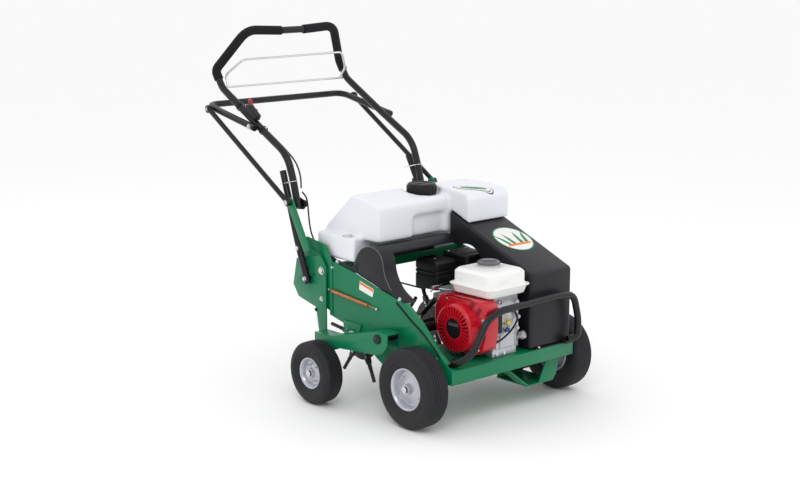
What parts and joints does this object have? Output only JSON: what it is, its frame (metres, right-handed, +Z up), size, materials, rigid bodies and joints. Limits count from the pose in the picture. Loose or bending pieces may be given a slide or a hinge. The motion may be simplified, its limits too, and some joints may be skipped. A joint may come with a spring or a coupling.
{
  "type": "core aerator",
  "caption": "Walk-behind core aerator: engine deck with wide front wheels, tine reel and lifting rear wheels, rear water weight tank, and folding handle with lift bar and control bail.",
  "frame": {"origin": "middle of the base, on the ground midway along and across the machine", "axes": "+Z up, -Y towards the front wheels, +Y towards the handle, +X towards the machine's left"},
  "size_m": [0.934, 1.3786, 1.2981],
  "materials": {
    "green": "satin enamel",
    "black_paint": "gloss powder coat",
    "dark_steel": "dark oiled steel",
    "tyre": "matte ribbed rubber",
    "rim": "silver paint",
    "copper": "copper-coloured spring wire",
    "steel": "bright plated steel",
    "foam": "soft foam",
    "black": "satin charcoal plastic",
    "red": "gloss red",
    "casting": "bead-blasted casting",
    "white": "white moulded plastic",
    "tank": "milky moulded polyethylene"
  },
  "bodies": {
    "root": {"deck": "green", "axle_hanger": "green", "side_plate_right": "green", "side_plate_left": "green", "rear_cross_member": "green", "engine_guard_bar": "black_paint", "reel_bearing_right": "green", "reel_bearing_left": "green", "assist_spring_right": "copper", "assist_spring_left": "copper", "lower_handle_tube_right": "black_paint", "lower_handle_tube_left": "black_paint", "control_cable_lower": "black", "drive_belt": "tyre", "drive_chain": "dark_steel", "engine_block": "casting", "recoil_cover": "red", "fuel_tank": "white", "air_cleaner": "black", "muffler": "black", "belt_guard": "black", "engine_shroud": "black", "water_tank": "tank"},
    "front_axle_set": {"front_axle": "dark_steel", "front_tyre_right": "tyre", "front_tyre_left": "tyre", "front_rim_right": "rim", "front_rim_left": "rim"},
    "carriage": {"carriage_arm_right": "green", "carriage_arm_left": "green", "carriage_pivot_tube": "black_paint"},
    "rear_wheel_right": {"rear_tyre_right": "tyre", "rear_rim_right": "rim"},
    "rear_wheel_left": {"rear_tyre_left": "tyre", "rear_rim_left": "rim"},
    "tine_reel": {"reel_shaft": "dark_steel", "tine_wheel_1": "dark_steel", "tine_wheel_2": "dark_steel", "tine_wheel_3": "dark_steel", "tine_wheel_4": "dark_steel"},
    "jackshaft_set": {"jackshaft": "dark_steel"},
    "engine_crank": {"engine_pulley": "dark_steel"},
    "idler": {"idler_arm": "dark_steel"},
    "lift_levers": {"lift_lever_right": "green", "lift_lever_left": "green", "lever_cross_shaft": "steel"},
    "upper_handle_set": {"upper_handle": "black_paint", "foam_grip_right": "foam", "foam_grip_left": "foam", "throttle_box": "black", "control_cable_upper": "black"},
    "lift_bar_set": {"lift_bar": "black_paint"},
    "lift_links": {"lift_link_right": "black_paint", "lift_link_left": "black_paint"},
    "bail": {"control_bail": "steel"},
    "throttle": {"throttle_lever": "red"},
    "starter": {"starter_grip": "black"},
    "fuel_cap_set": {"fuel_cap": "dark_steel"},
    "tank_cap_set": {"tank_cap": "black"}
  },
  "joints": [
    {"name": "front_axle_spin", "type": "hinge", "parent": "root", "child": "front_axle_set", "pos_m": [0, -0.52682, 0.14], "axis": [1, 0, 0], "continuous": true},
    {"name": "carriage_swing", "type": "hinge", "parent": "root", "child": "carriage", "pos_m": [0, -0.36582, 0.281], "axis": [1, 0, 0], "range_deg": [0, 12]},
    {"name": "rear_wheel_right_spin", "type": "hinge", "parent": "carriage", "child": "rear_wheel_right", "pos_m": [-0.427, -0.08682, 0.1135], "axis": [1, 0, 0], "continuous": true},
    {"name": "rear_wheel_left_spin", "type": "hinge", "parent": "carriage", "child": "rear_wheel_left", "pos_m": [0.427, -0.08682, 0.1135], "axis": [1, 0, 0], "continuous": true},
    {"name": "reel_spin", "type": "hinge", "parent": "root", "child": "tine_reel", "pos_m": [0, -0.14182, 0.222], "axis": [1, 0, 0], "continuous": true},
    {"name": "jackshaft_spin", "type": "hinge", "parent": "root", "child": "jackshaft_set", "pos_m": [0, -0.31182, 0.385], "axis": [1, 0, 0], "continuous": true},
    {"name": "crank_spin", "type": "hinge", "parent": "root", "child": "engine_crank", "pos_m": [0, -0.53682, 0.318], "axis": [1, 0, 0], "continuous": true},
    {"name": "idler_press", "type": "hinge", "parent": "root", "child": "idler", "pos_m": [0, -0.37682, 0.392], "axis": [1, 0, 0], "range_deg": [0, 3.5]},
    {"name": "lever_swing", "type": "hinge", "parent": "root", "child": "lift_levers", "pos_m": [0, 0.00918, 0.452], "axis": [1, 0, 0], "range_deg": [-18, 0]},
    {"name": "handle_fold", "type": "hinge", "parent": "root", "child": "upper_handle_set", "pos_m": [0, 0.15918, 0.672], "axis": [1, 0, 0], "range_deg": [0, 90]},
    {"name": "lift", "type": "hinge", "parent": "upper_handle_set", "child": "lift_bar_set", "pos_m": [0, 0.39618, 0.94], "axis": [1, 0, 0], "range_deg": [0, 12]},
    {"name": "link_turn", "type": "hinge", "parent": "lift_bar_set", "child": "lift_links", "pos_m": [0, 0.63218, 0.987], "axis": [1, 0, 0], "range_deg": [0, 1.2]},
    {"name": "bail_pull", "type": "hinge", "parent": "upper_handle_set", "child": "bail", "pos_m": [0, 0.62118, 1.066], "axis": [1, 0, 0], "range_deg": [-15, 0], "stiffness_Nm_per_rad": 0.6, "springref_deg": 34.38},
    {"name": "throttle_turn", "type": "hinge", "parent": "upper_handle_set", "child": "throttle", "pos_m": [0, 0.42358, 0.9928], "axis": [1, 0, 0], "range_deg": [-20, 25]},
    {"name": "starter_pull", "type": "slide", "parent": "root", "child": "starter", "axis": [-0.6992, -0.2996, 0.6492], "range_m": [0, 0.3], "stiffness_N_per_m": 30, "springref_m": -0.05},
    {"name": "fuel_cap_turn", "type": "hinge", "parent": "root", "child": "fuel_cap_set", "pos_m": [-0.01, -0.53182, 0.52], "axis": [0, 0, 1], "range_deg": [0, 90]},
    {"name": "tank_cap_turn", "type": "hinge", "parent": "root", "child": "tank_cap_set", "pos_m": [0.045, -0.12682, 0.709], "axis": [0, 0, 1], "continuous": true}
  ],
  "couplings": [
    {"joint": "jackshaft_spin", "follows": "reel_spin", "ratio": 2.3333},
    {"joint": "idler_press", "follows": "bail_pull", "ratio": -0.2333},
    {"joint": "link_turn", "follows": "lift", "ratio": 0.1},
    {"joint": "lever_swing", "follows": "lift", "ratio": -1.5},
    {"joint": "carriage_swing", "follows": "lift", "ratio": 1}
  ]
}
